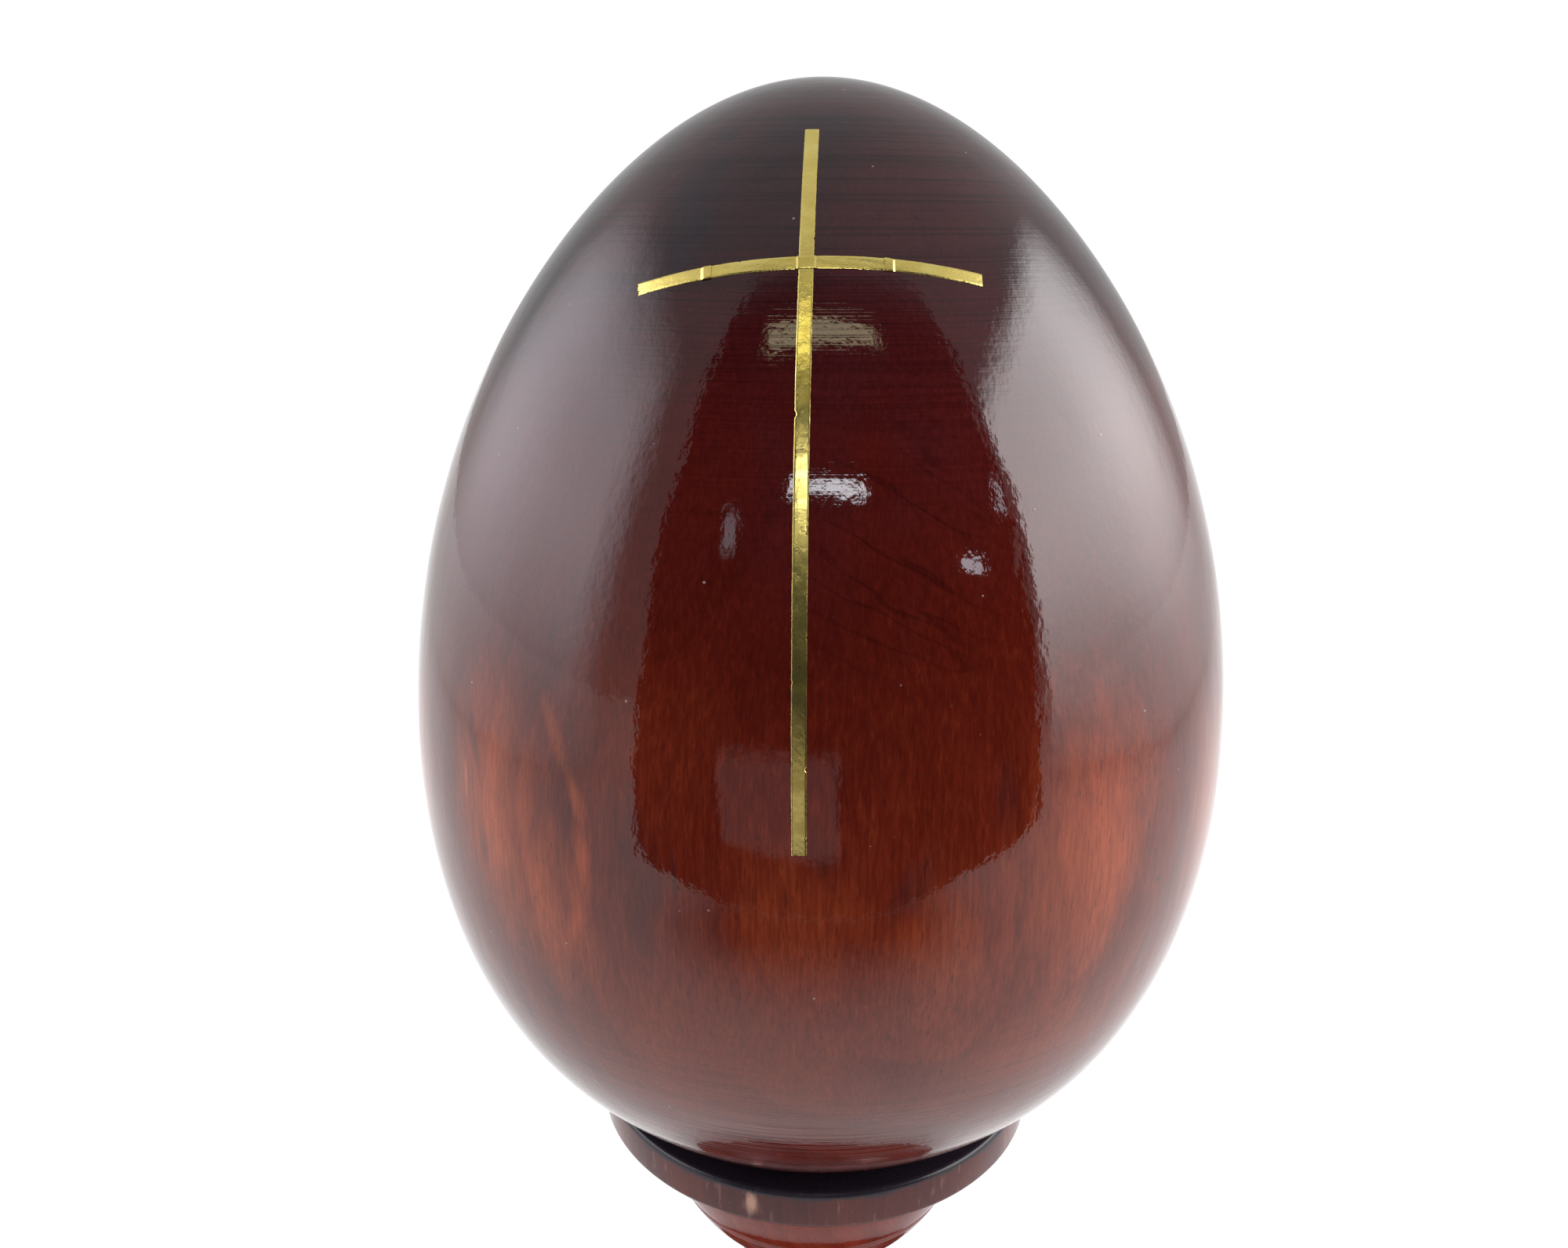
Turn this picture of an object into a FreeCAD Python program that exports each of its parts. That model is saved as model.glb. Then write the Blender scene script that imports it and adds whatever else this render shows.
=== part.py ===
import FreeCAD, Part
import math
import os

# Turned wooden Easter egg with a gold foil cross, on a turned wooden stand.
# Millimetres, +Z up. The origin is the middle of the foot's underside and the
# cross faces -Y. The egg stands blunt end down on a peg in the stand's dish.

# --- Egg -------------------------------------------------------------------
egg_height = 160.0
egg_radius = 59.8          # radius term of the outline, close to the largest radius
egg_taper = (0.144, 0.052, 0.074)   # fuller towards the blunt end, by rising powers
outline_steps = 24

# --- Foil tape of the cross ------------------------------------------------
tape_width = 1.7
tape_thickness = 0.15
cross_turn = -2.5          # degrees about Z from straight front, towards -X
crossing_drop = 23.4       # the crossing, below the egg's pointed end
upright_above = 15.1       # from the crossing to the upright's top
upright_below = 62.7       # from the crossing to the upright's bottom
upright_tilt = 0.7         # degrees, top end towards -X
bar_left_reach = 19.9      # from the crossing to each end of the bar
bar_right_reach = 20.1
bar_tilt = 2.2             # degrees, left end low
left_joint = 12.4          # from the crossing to the near edge of each lap
right_joint = 10.0
lap_length = 0.9
bridge_margin = 0.35       # how far past the upright the bar stays raised

# --- Stand -----------------------------------------------------------------
rim_radius = 36.0
rim_face_height = 6.2
rim_edge_radius = 0.7
seat_depth = 6.5           # how far the egg's blunt end sits below the rim
bowl_radius = 26.6
bowl_drop = 4.7            # the ball-shaped bowl's centre, below the rim's underside
groove_angle = 24.0        # degrees below the bowl's centre
groove_depth = 0.35
collar_radius = 14.3
collar_height = 3.5
waist_radius = 9.4
stem_height = 41.0
foot_neck_radius = 14.0
foot_bead_radius = 2.2
foot_radius = 39.0
foot_edge_height = 5.0
foot_sweep_hollow = 0.4    # 0.5 is a straight cone, less is hollower
foot_height = 15.0
foot_edge_radius = 0.9

# --- Hidden joinery --------------------------------------------------------
tenon_radius = 6.5
tenon_length = 9.0
peg_radius = 4.0
peg_chamfer = 0.8
peg_floor = 3.0            # wood between the peg's bore and the stem's mortise
peg_in_egg = 16.0          # above the egg's blunt end
peg_fit = 0.05             # running clearance on the radius
peg_end_gap = 0.3
seat_clearance = 0.3

bowl_bottom = foot_height + stem_height
bowl_centre = bowl_bottom + math.sqrt(bowl_radius ** 2 - collar_radius ** 2)
bowl_top = bowl_centre + bowl_drop
rim_height = bowl_top + rim_face_height
egg_base = rim_height - seat_depth
peg_bore_bottom = bowl_bottom + tenon_length + peg_floor
front = FreeCAD.Vector(0, -1, 0)
up = FreeCAD.Vector(0, 0, 1)


def point(radius, height):
    """A point of an outline, drawn in the XZ plane beside the axis."""
    return FreeCAD.Vector(radius, 0, height)


def line(start, end):
    return Part.LineSegment(point(*start), point(*end)).toShape()


def arc(start, middle, end):
    return Part.Arc(point(*start), point(*middle), point(*end)).toShape()


def arc_about(centre, radius, start_degrees, end_degrees):
    """A stretch of a circle about a point, with angles counted up from straight outward."""
    ends = []
    for degrees in (start_degrees, (start_degrees + end_degrees) / 2, end_degrees):
        angle = math.radians(degrees)
        ends.append((centre[0] + radius * math.cos(angle), centre[1] + radius * math.sin(angle)))
    return arc(*ends)


def turned(edges):
    """Turn a closed outline about the Z axis, as a lathe does."""
    return Part.Face(Part.Wire(edges)).revolve(FreeCAD.Vector(0, 0, 0), up, 360)


def cylinder(radius, start_height, end_height):
    return Part.makeCylinder(radius, end_height - start_height, FreeCAD.Vector(0, 0, start_height))


def egg_outline_point(angle):
    """Radius, height and outward normal at an angle: 0 at the blunt end, pi at the point."""
    c = math.cos(angle)
    s = math.sin(angle)
    k1, k2, k3 = egg_taper
    fullness = 1 + k1 * c + k2 * c ** 2 + k3 * c ** 3
    change = -s * (k1 + 2 * k2 * c + 3 * k3 * c ** 2)
    radius = egg_radius * s * fullness
    height = egg_base + egg_height / 2 * (1 - c)
    along = (egg_radius * (c * fullness + s * change), egg_height / 2 * s)
    length = math.hypot(*along)
    normal = (along[1] / length, -along[0] / length)
    return radius, height, normal


def egg_solid(offset):
    """The whole egg, grown outward by an offset, closed along the axis."""
    points = []
    for step in range(outline_steps + 1):
        radius, height, normal = egg_outline_point(math.pi * step / outline_steps)
        if step in (0, outline_steps):
            radius = 0.0
            normal = (0.0, math.copysign(1.0, normal[1]))
        points.append(point(radius + offset * normal[0], height + offset * normal[1]))
    curve = Part.BSplineCurve()
    curve.interpolate(Points=points, InitialTangent=point(1, 0), FinalTangent=point(-1, 0))
    axis = Part.LineSegment(points[-1], points[0]).toShape()
    return turned([curve.toShape(), axis])


def tape_block(centre, along, normal, start, end):
    """A flat-sided block, one tape wide, that runs from start to end along a strip of tape.

    It reaches along normal from deep in the wood to well outside it.
    """
    depth = egg_radius
    across = normal.cross(along) * tape_width
    corner = centre - across / 2 + along * start - normal * (depth / 2)
    length = along * (end - start)
    corners = [corner, corner + across, corner + across + length, corner + length, corner]
    return Part.Face(Part.makePolygon(corners)).extrude(normal * depth)


def build_foil():
    """The cross: an upright, and a bar of three lengths that lap one over the other."""
    wood = egg_solid(0.0)
    one_thick = egg_solid(tape_thickness)
    two_thick = egg_solid(2 * tape_thickness)

    # Both strips are set out from the crossing, on the egg's front line.
    outward = FreeCAD.Rotation(up, cross_turn).multVec(front)
    radius, height, normal = egg_outline_point(math.acos(2 * crossing_drop / egg_height - 1))
    crossing = outward * radius + up * height

    # The upright's block stands up with its depth level, and the bar's is square to the wood.
    upright_along = FreeCAD.Rotation(outward, upright_tilt).multVec(up)
    upright = one_thick.common(tape_block(crossing, upright_along, outward, -upright_below, upright_above))
    upright = upright.cut(wood)
    bar_normal = outward * normal[0] + up * normal[1]
    bar_along = FreeCAD.Rotation(bar_normal, bar_tilt).multVec(up.cross(outward))

    def bar_length(start, end, raised_start, raised_end, lying_on):
        """A length of the bar, two tapes high over its raised stretch, cut to what it lies on."""
        flat = one_thick.common(tape_block(crossing, bar_along, bar_normal, start, end))
        raised = two_thick.common(tape_block(crossing, bar_along, bar_normal, raised_start, raised_end))
        return flat.fuse(raised).cut(wood).cut(lying_on).removeSplitter()

    bridge = tape_width / 2 + bridge_margin
    left_end = -left_joint - lap_length
    right_end = right_joint + lap_length
    centre = bar_length(left_end, right_end, -bridge, bridge, upright)
    left = bar_length(-bar_left_reach, left_end, left_end - bridge_margin, -left_joint, centre)
    right = bar_length(right_end, bar_right_reach, right_joint, right_end + bridge_margin, centre)
    return {
        "foil_upright": upright,
        "foil_bar_centre": centre,
        "foil_bar_left": left,
        "foil_bar_right": right,
    }


def build_egg():
    """The turned egg, with a blind socket for the peg in its blunt end."""
    egg = egg_solid(0.0)
    socket_top = egg_base + peg_in_egg + peg_end_gap
    socket = cylinder(peg_radius + peg_fit, egg_base - seat_depth, socket_top)
    return egg.cut(socket)


def build_cup():
    """The stand's cup: a flat-faced rim ring over a ball-shaped bowl, dished for the egg."""

    def bowl_point(radius, degrees_down):
        angle = math.radians(degrees_down)
        return radius * math.cos(angle), bowl_centre - radius * math.sin(angle)

    neck_radius = math.sqrt(bowl_radius ** 2 - bowl_drop ** 2)
    edge = rim_edge_radius
    cup = turned([
        line((0, bowl_bottom), (collar_radius, bowl_bottom)),
        arc((collar_radius, bowl_bottom), bowl_point(bowl_radius, 0), (neck_radius, bowl_top)),
        line((neck_radius, bowl_top), (rim_radius - edge, bowl_top)),
        arc_about((rim_radius - edge, bowl_top + edge), edge, -90, 0),
        line((rim_radius, bowl_top + edge), (rim_radius, rim_height - edge)),
        arc_about((rim_radius - edge, rim_height - edge), edge, 0, 90),
        line((rim_radius - edge, rim_height), (0, rim_height)),
        line((0, rim_height), (0, bowl_bottom)),
    ])
    cup = cup.cut(egg_solid(seat_clearance))
    cup = cup.cut(cylinder(peg_radius + peg_fit, peg_bore_bottom, rim_height))
    cup = cup.cut(cylinder(tenon_radius, bowl_bottom, bowl_bottom + tenon_length))

    # A fine V groove turned round the bowl, square to its side.
    half_angle = math.degrees(2 * groove_depth / bowl_radius)
    bottom = bowl_point(bowl_radius - groove_depth, groove_angle)
    upper = bowl_point(bowl_radius + groove_depth, groove_angle - half_angle)
    lower = bowl_point(bowl_radius + groove_depth, groove_angle + half_angle)
    groove = turned([line(bottom, upper), line(upper, lower), line(lower, bottom)])
    return cup.cut(groove)


def build_stem():
    """The stem: a collar under the bowl, a waist, and a round tenon at each end."""
    bottom = foot_height
    top = foot_height + stem_height
    collar_bottom = top - collar_height
    middle = (bottom + collar_bottom) / 2
    stem = turned([
        line((0, bottom), (foot_neck_radius, bottom)),
        arc((foot_neck_radius, bottom), (waist_radius, middle), (collar_radius, collar_bottom)),
        line((collar_radius, collar_bottom), (collar_radius, top)),
        line((collar_radius, top), (0, top)),
        line((0, top), (0, bottom)),
    ])
    tenons = cylinder(tenon_radius, bottom - tenon_length, top + tenon_length)
    return stem.fuse(tenons).removeSplitter()


def build_foot():
    """The foot: a bead under the stem, a hollow sweep, and a plain rounded edge."""
    edge = foot_edge_radius
    bead = foot_bead_radius
    bead_bottom = foot_height - 2 * bead
    shoulder = (foot_radius - edge, foot_edge_height)
    sweep_top = (foot_neck_radius + bead / 2, bead_bottom)
    sweep_middle = (
        sweep_top[0] + (shoulder[0] - sweep_top[0]) * foot_sweep_hollow,
        shoulder[1] + (sweep_top[1] - shoulder[1]) * foot_sweep_hollow,
    )
    foot = turned([
        line((0, 0), (foot_radius - edge, 0)),
        arc_about((foot_radius - edge, edge), edge, -90, 0),
        line((foot_radius, edge), (foot_radius, foot_edge_height - edge)),
        arc_about((foot_radius - edge, foot_edge_height - edge), edge, 0, 90),
        arc(shoulder, sweep_middle, sweep_top),
        line(sweep_top, (foot_neck_radius, bead_bottom)),
        arc_about((foot_neck_radius, foot_height - bead), bead, -90, 90),
        line((foot_neck_radius, foot_height), (0, foot_height)),
        line((0, foot_height), (0, 0)),
    ])
    return foot.cut(cylinder(tenon_radius, foot_height - tenon_length, foot_height))


def build_peg():
    """The dowel that centres the egg: it turns in the cup, and the egg lifts off it."""
    bottom = peg_bore_bottom + peg_end_gap
    top = egg_base + peg_in_egg
    chamfer = peg_chamfer
    return turned([
        line((0, bottom), (peg_radius - chamfer, bottom)),
        line((peg_radius - chamfer, bottom), (peg_radius, bottom + chamfer)),
        line((peg_radius, bottom + chamfer), (peg_radius, top - chamfer)),
        line((peg_radius, top - chamfer), (peg_radius - chamfer, top)),
        line((peg_radius - chamfer, top), (0, top)),
        line((0, top), (0, bottom)),
    ])


def main():
    os.makedirs("parts", exist_ok=True)
    nodes = {
        "egg_body": build_egg(),
        "locating_peg": build_peg(),
        "stand_cup": build_cup(),
        "stand_stem": build_stem(),
        "stand_foot": build_foot(),
    }
    nodes.update(build_foil())
    for name, shape in nodes.items():
        print(name, "valid", shape.isValid(), "solids", len(shape.Solids), "volume", round(shape.Volume, 3))
        shape.exportStep("parts/" + name + ".step")


main()
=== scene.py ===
import math

import bpy
import numpy as np
from mathutils import Matrix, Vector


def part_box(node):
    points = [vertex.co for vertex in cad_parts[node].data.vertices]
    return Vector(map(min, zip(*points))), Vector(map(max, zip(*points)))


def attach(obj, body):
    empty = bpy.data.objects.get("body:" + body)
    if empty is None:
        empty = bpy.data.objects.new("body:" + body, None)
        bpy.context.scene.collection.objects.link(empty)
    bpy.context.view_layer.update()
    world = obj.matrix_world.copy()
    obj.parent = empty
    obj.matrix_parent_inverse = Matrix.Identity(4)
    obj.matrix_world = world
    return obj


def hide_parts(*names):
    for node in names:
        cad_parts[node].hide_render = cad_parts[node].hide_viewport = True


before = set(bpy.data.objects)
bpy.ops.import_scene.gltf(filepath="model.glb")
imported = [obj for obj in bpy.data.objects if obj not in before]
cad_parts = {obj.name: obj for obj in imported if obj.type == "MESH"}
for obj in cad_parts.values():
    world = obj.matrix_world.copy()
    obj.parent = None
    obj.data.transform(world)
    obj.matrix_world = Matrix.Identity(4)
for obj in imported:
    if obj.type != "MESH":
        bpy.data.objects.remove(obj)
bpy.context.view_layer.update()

# --- Egg -------------------------------------------------------------------
# The egg is one block of straight-grained hardwood, turned between centres with
# its grain upright, stained dark mahogany and flooded with thick clear lacquer.
# Its blunt end has a blind bore that drops over the stand's peg.
egg_low, egg_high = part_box("egg_body")
egg_base = egg_low.z
egg_height = egg_high.z - egg_low.z
egg_radius = 0.0598
egg_taper = (0.144, 0.052, 0.074)
peg_bore = 0.00405
peg_bore_top = egg_base + 0.0163
small_ease = 0.0003
lacquer_swell = 0.000012
lacquer_depth = 0.00012
lacquer_gloss = 1.45
outline_points = 260
egg_round = 320
egg_reach = 0.058


def egg_outline(angle, lift=0.0):
    """Radii and heights of the egg's outline. Radius is egg_radius * sin t * (1 + k1 cos t
    + k2 cos^2 t + k3 cos^3 t), height is the base plus half the egg's height * (1 - cos t),
    and t runs from 0 at the blunt end to pi at the point. Both then move out by lift,
    along the outline's own normal."""
    c, s = np.cos(angle), np.sin(angle)
    k1, k2, k3 = egg_taper
    full = 1 + k1 * c + k2 * c**2 + k3 * c**3
    slope = -s * (k1 + 2 * k2 * c + 3 * k3 * c**2)
    radial, upward = egg_radius * (c * full + s * slope), egg_height / 2 * s
    length = np.hypot(radial, upward) + 1e-12
    radius = egg_radius * s * full + lift * upward / length
    height = egg_base + egg_height / 2 * (1 - c) - lift * radial / length
    return radius, height


def rounded(corners, size, steps=4):
    """An outline with its corners eased: each listed corner becomes a short quadratic curve
    that starts and ends `size` away from it, (1-u)^2 a + 2u(1-u) corner + u^2 b."""
    corners = np.array(corners, float)
    u = np.linspace(0, 1, steps)[:, None]
    out = [corners[:1]]
    for before, corner, after in zip(corners[:-2], corners[1:-1], corners[2:]):
        back, ahead = before - corner, after - corner
        reach = min(size, np.linalg.norm(back) / 2, np.linalg.norm(ahead) / 2)
        a = corner + back / np.linalg.norm(back) * reach
        b = corner + ahead / np.linalg.norm(ahead) * reach
        out.append((1 - u) ** 2 * a + 2 * u * (1 - u) * corner + u**2 * b)
    return np.vstack(out + [corners[-1:]])


def turned(name, outline, around, swell=None):
    """A lathe-turned mesh. Every outline point (r, z) is carried round the Z axis to
    (r sin a, -r cos a, z), and the first and last points close it on the axis. swell(a, z)
    adds its own length to r. The outline runs so that the outside is on its right."""
    r, z = np.asarray(outline, float).T
    a = np.linspace(0, 2 * np.pi, around, endpoint=False)
    turn, level = np.meshgrid(a, z[1:-1])
    radius = np.repeat(r[1:-1, None], around, axis=1)
    if swell is not None:
        radius = radius + swell(turn, level)
    rings = np.stack([radius * np.sin(turn), -radius * np.cos(turn), level], -1).reshape(-1, 3)
    verts = np.vstack([rings, [[0, 0, z[0]], [0, 0, z[-1]]]])
    row, col = np.meshgrid(np.arange(len(z) - 3), np.arange(around), indexing="ij")
    here, right = row * around + col, row * around + (col + 1) % around
    quads = np.stack([here, right, right + around, here + around], -1).reshape(-1, 4)
    ring, after = np.arange(around), (np.arange(around) + 1) % around
    last = (len(z) - 3) * around
    first_cap = np.stack([np.full(around, len(rings)), after, ring], -1)
    last_cap = np.stack([np.full(around, len(rings) + 1), last + ring, last + after], -1)
    return solid(name, verts, quads.tolist() + first_cap.tolist() + last_cap.tolist())


def solid(name, verts, faces, sharp=0.7):
    """A smooth-shaded mesh object at the origin, with edges sharper than `sharp` kept crisp."""
    mesh = bpy.data.meshes.new(name)
    mesh.from_pydata(np.asarray(verts).tolist(), [], faces)
    mesh.update()
    mesh.shade_smooth()
    mesh.set_sharp_from_angle(angle=sharp)
    made = bpy.data.objects.new(name, mesh)
    bpy.context.scene.collection.objects.link(made)
    return made


def lacquer_waves(turn, level):
    """Soft swells where the lacquer stands a little thicker: a few sines of turn and height,
    faded to nothing at both ends of the egg so that its poles and its bore stay true."""
    up = (level - egg_base) / egg_height
    wave = (np.sin(5 * turn + 21 * up + 0.6) + np.sin(9 * turn - 33 * up + 2.0)
            + 0.7 * np.sin(13 * turn + 52 * up + 4.1) + 0.6 * np.sin(3 * turn + 70 * up))
    return lacquer_swell * wave * np.clip(up * 12 - 0.4, 0, 1) * np.clip(9 * (1 - up), 0, 1)


angles = np.linspace(0, np.pi, outline_points)
radii, heights = egg_outline(angles)
keep = (radii > peg_bore * 1.12) | (heights > egg_base + egg_height / 2)
blunt_end = heights < egg_base + egg_height / 8
lip_height = float(np.interp(peg_bore, radii[blunt_end], heights[blunt_end]))
bore = [(0, peg_bore_top), (peg_bore, peg_bore_top), (peg_bore, lip_height)]
bore = rounded(bore + [(radii[keep][0], heights[keep][0])], small_ease)
egg_profile = np.vstack([bore, np.column_stack([radii[keep], heights[keep]])[1:-1],
                         [[0, egg_base + egg_height]]])
egg = turned("turned_egg", egg_profile, egg_round, lacquer_waves)


def add(tree, kind, sockets=None, **settings):
    """Put one node in a tree, give it its settings, and fill each socket with a value or a link."""
    made = tree.nodes.new(kind)
    for name, value in settings.items():
        setattr(made, name, value)
    for key, value in (sockets or {}).items():
        if isinstance(value, bpy.types.NodeSocket):
            tree.links.new(value, made.inputs[key])
        else:
            made.inputs[key].default_value = value
    return made


def reckon(tree, operation, *values):
    """The result of one Math node on one, two or three numbers."""
    return add(tree, "ShaderNodeMath", dict(enumerate(values)), operation=operation).outputs[0]


def times(tree, first, *others):
    """Numbers multiplied together, from left to right."""
    for other in others:
        first = reckon(tree, "MULTIPLY", first, other)
    return first


def how_far(tree, x, y):
    """The length of the line from nothing to (x, y)."""
    return reckon(tree, "SQRT", reckon(tree, "ADD", times(tree, x, x), times(tree, y, y)))


def parts_of(tree, vector):
    """The X, Y and Z of a vector."""
    return add(tree, "ShaderNodeSeparateXYZ", {0: vector}).outputs


def step(tree, value, low, high, to_low=0.0, to_high=1.0):
    """A smooth step from to_low at low to to_high at high."""
    sockets = {"Value": value, "From Min": low, "From Max": high, "To Min": to_low, "To Max": to_high}
    return add(tree, "ShaderNodeMapRange", sockets, interpolation_type="SMOOTHSTEP").outputs[0]


def cloud(tree, vector, stretch, detail=3.0, rough=0.55, warp=0.0):
    """Noise whose grain is stretched: vector times stretch, so a small number draws it out."""
    scaled = add(tree, "ShaderNodeVectorMath", {0: vector, 1: stretch}, operation="MULTIPLY").outputs[0]
    sockets = {"Vector": scaled, "Scale": 1.0, "Detail": detail, "Roughness": rough, "Distortion": warp}
    return add(tree, "ShaderNodeTexNoise", sockets).outputs["Fac"]


def over(tree, mask, under, top, way="MIX"):
    """One colour laid over another through a mask."""
    return add(tree, "ShaderNodeMix", {0: mask, 6: under, 7: top}, data_type="RGBA",
               blend_type=way).outputs[2]


def ramp(tree, value, stops):
    """A colour ramp through (place, colour) stops."""
    made = add(tree, "ShaderNodeValToRGB", {0: value})
    while len(made.color_ramp.elements) < len(stops):
        made.color_ramp.elements.new(0.5)
    for element, (place, colour) in zip(made.color_ramp.elements, stops):
        element.position = place
        element.color = (*colour, 1)
    return made.outputs[0]


def raise_surface(tree, shader, height, depth, strength=1.0):
    """Bend a shader's Normal by a height of which 1 stands for depth metres."""
    bump = add(tree, "ShaderNodeBump", {"Height": height, "Strength": strength, "Distance": depth})
    tree.links.new(bump.outputs[0], shader.inputs["Normal"])


def tinted(tree, mask, strength, under, top, way="MIX"):
    """A colour laid over another through a mask of the given strength."""
    return over(tree, times(tree, mask, strength), under, (*top, 1), way)


def effect(name, inputs, outputs):
    """An empty node group with its sockets, for an effect that several finishes share."""
    group = bpy.data.node_groups.new(name, "ShaderNodeTree")
    for kind, socket, value in inputs:
        made = group.interface.new_socket(socket, in_out="INPUT", socket_type=kind)
        if value is not None:
            made.default_value = value
    for socket in outputs:
        group.interface.new_socket(socket, in_out="OUTPUT", socket_type="NodeSocketFloat")
    return group, add(group, "NodeGroupInput").outputs, add(group, "NodeGroupOutput")


def give(group, end, **results):
    """Link each named result to the group's output of that name."""
    for name, value in results.items():
        group.links.new(value, end.inputs[name])


def place_effect(tree, group, **values):
    """Put a node group in a tree with its own values, and give back its outputs."""
    sockets = {key.replace("_", " "): value for key, value in values.items()}
    return add(tree, "ShaderNodeGroup", sockets, node_tree=group).outputs


def finish_of(name):
    """A new material with one Principled shader, and its Object coordinates."""
    material = bpy.data.materials.new(name)
    material.use_nodes = True
    tree = material.node_tree
    place = add(tree, "ShaderNodeTexCoord").outputs["Object"]
    return material, tree, tree.nodes["Principled BSDF"], place


FLOAT, VECTOR = "NodeSocketFloat", "NodeSocketVector"

# Grain of a block with upright fibres. Rings are distances from a leaning pith line.
grain, g, g_end = effect(
    "wood_grain",
    [(VECTOR, "Place", None), (VECTOR, "Pith", (0.02, 0.09, 0.0)), (FLOAT, "Ring width", 0.0035),
     (FLOAT, "Lean", 0.12), (FLOAT, "Wander", 0.006)],
    ["Rings", "Fibres", "Pores", "Blotches"])
split = parts_of(grain, g["Place"])
pith = parts_of(grain, g["Pith"])
drift = reckon(grain, "SUBTRACT", cloud(grain, g["Place"], (26, 26, 9), 2), 0.5)
drift = times(grain, drift, g["Wander"])
ox = reckon(grain, "SUBTRACT", reckon(grain, "MULTIPLY_ADD", split[2], g["Lean"], split[0]), pith[0])
oy = reckon(grain, "SUBTRACT", split[1], pith[1])
far = reckon(grain, "ADD", how_far(grain, ox, oy), drift)
count = reckon(grain, "DIVIDE", far, g["Ring width"])
tooth = reckon(grain, "FRACT", count)
rise = step(grain, tooth, 0.1, 0.88)
fall = step(grain, tooth, 0.9, 1.0, 1.0, 0.0)
fibres = cloud(grain, g["Place"], (2600, 2600, 190), 4, 0.65)
pore_seed = cloud(grain, g["Place"], (3900, 3900, 420), 1.5, 0.5)
pore_field = cloud(grain, g["Place"], (60, 60, 26), 2)
pores = step(grain, reckon(grain, "MULTIPLY_ADD", pore_field, 0.22, pore_seed), 0.76, 0.82)
give(grain, g_end, Rings=times(grain, rise, fall), Fibres=fibres, Pores=pores,
     Blotches=cloud(grain, g["Place"], (55, 55, 24), 4, 0.6, 0.4))

# A patch at a turn round the piece and a height, with a streaked edge.
patch, p, p_end = effect(
    "wood_patch",
    [(VECTOR, "Place", None), (FLOAT, "Turn", 0.0), (FLOAT, "Height", 0.1), (FLOAT, "Wide", 0.01),
     (FLOAT, "Tall", 0.01), (FLOAT, "Lean", 0.0), (FLOAT, "Soft", 0.3), (FLOAT, "Ragged", 0.4),
     (FLOAT, "Reach", egg_reach)],
    ["Mask"])
split = parts_of(patch, p["Place"])
turn = reckon(patch, "ARCTAN2", split[0], times(patch, split[1], -1.0))
dz = reckon(patch, "SUBTRACT", split[2], p["Height"])
dx = times(patch, reckon(patch, "SUBTRACT", turn, p["Turn"]), p["Reach"])
dx = reckon(patch, "MULTIPLY_ADD", dz, p["Lean"], dx)
dx, dz = reckon(patch, "DIVIDE", dx, p["Wide"]), reckon(patch, "DIVIDE", dz, p["Tall"])
away = how_far(patch, dx, dz)
torn = reckon(patch, "SUBTRACT", cloud(patch, p["Place"], (330, 330, 95), 4, 0.65), 0.5)
edge = reckon(patch, "MULTIPLY_ADD", torn, times(patch, p["Ragged"], 2.0), away)
inside = step(patch, edge, reckon(patch, "SUBTRACT", 1.0, p["Soft"]), 1.0, 1.0, 0.0)
give(patch, p_end, Mask=inside)

# Thick lacquer: slow waves, finer orange peel, thin upright runs and a little dust.
skin, s, s_end = effect(
    "lacquer_skin",
    [(VECTOR, "Place", None), (FLOAT, "Waves", 1.0), (FLOAT, "Peel", 1.0), (FLOAT, "Dust", 1.0)],
    ["Height", "Specks"])
waves = cloud(skin, s["Place"], (95, 95, 60), 2, 0.5)
runs = cloud(skin, s["Place"], (420, 420, 70), 2, 0.5)
peel = cloud(skin, s["Place"], (1300, 1300, 900), 2, 0.5)
grit = add(skin, "ShaderNodeTexVoronoi", {"Vector": s["Place"], "Scale": 330.0}, feature="F1")
lot = add(skin, "ShaderNodeSeparateColor", {0: grit.outputs["Color"]}).outputs[0]
chosen = step(skin, lot, 0.85, 0.87)
specks = times(skin, step(skin, grit.outputs["Distance"], 0.035, 0.07, 1.0, 0.0), chosen)
height = times(skin, waves, s["Waves"])
height = reckon(skin, "MULTIPLY_ADD", runs, 0.17, height)
height = reckon(skin, "MULTIPLY_ADD", times(skin, peel, s["Peel"]), 0.12, height)
height = reckon(skin, "MULTIPLY_ADD", times(skin, specks, s["Dust"]), 0.12, height)
give(skin, s_end, Height=height, Specks=specks)

lacquered, tree, shader, place = finish_of("dark_lacquered_wood")
figure = place_effect(tree, grain, Place=place, Pith=(0.006, 0.075, 0.0), Ring_width=0.0042,
                      Lean=0.1, Wander=0.016)
level = parts_of(tree, place)[2]
level = reckon(tree, "DIVIDE", reckon(tree, "SUBTRACT", level, egg_base), egg_height)
level = reckon(tree, "MULTIPLY_ADD", reckon(tree, "SUBTRACT", figure["Blotches"], 0.5), 0.16, level)
deep = ramp(tree, level, [
    (0.02, (0.070, 0.012, 0.013)), (0.16, (0.096, 0.014, 0.010)), (0.34, (0.112, 0.015, 0.007)),
    (0.44, (0.098, 0.011, 0.0045)), (0.52, (0.086, 0.009, 0.0038)), (0.60, (0.062, 0.0052, 0.0024)),
    (0.72, (0.060, 0.0050, 0.0034)), (0.80, (0.040, 0.0036, 0.0044)), (0.86, (0.026, 0.0060, 0.0085)),
    (1.0, (0.018, 0.0085, 0.0125))])
glow = ramp(tree, level, [
    (0.15, (0.200, 0.036, 0.015)), (0.42, (0.300, 0.060, 0.018)), (0.56, (0.240, 0.040, 0.013)),
    (0.68, (0.120, 0.012, 0.006)), (0.85, (0.045, 0.010, 0.012)), (1.0, (0.030, 0.014, 0.018))])


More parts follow.
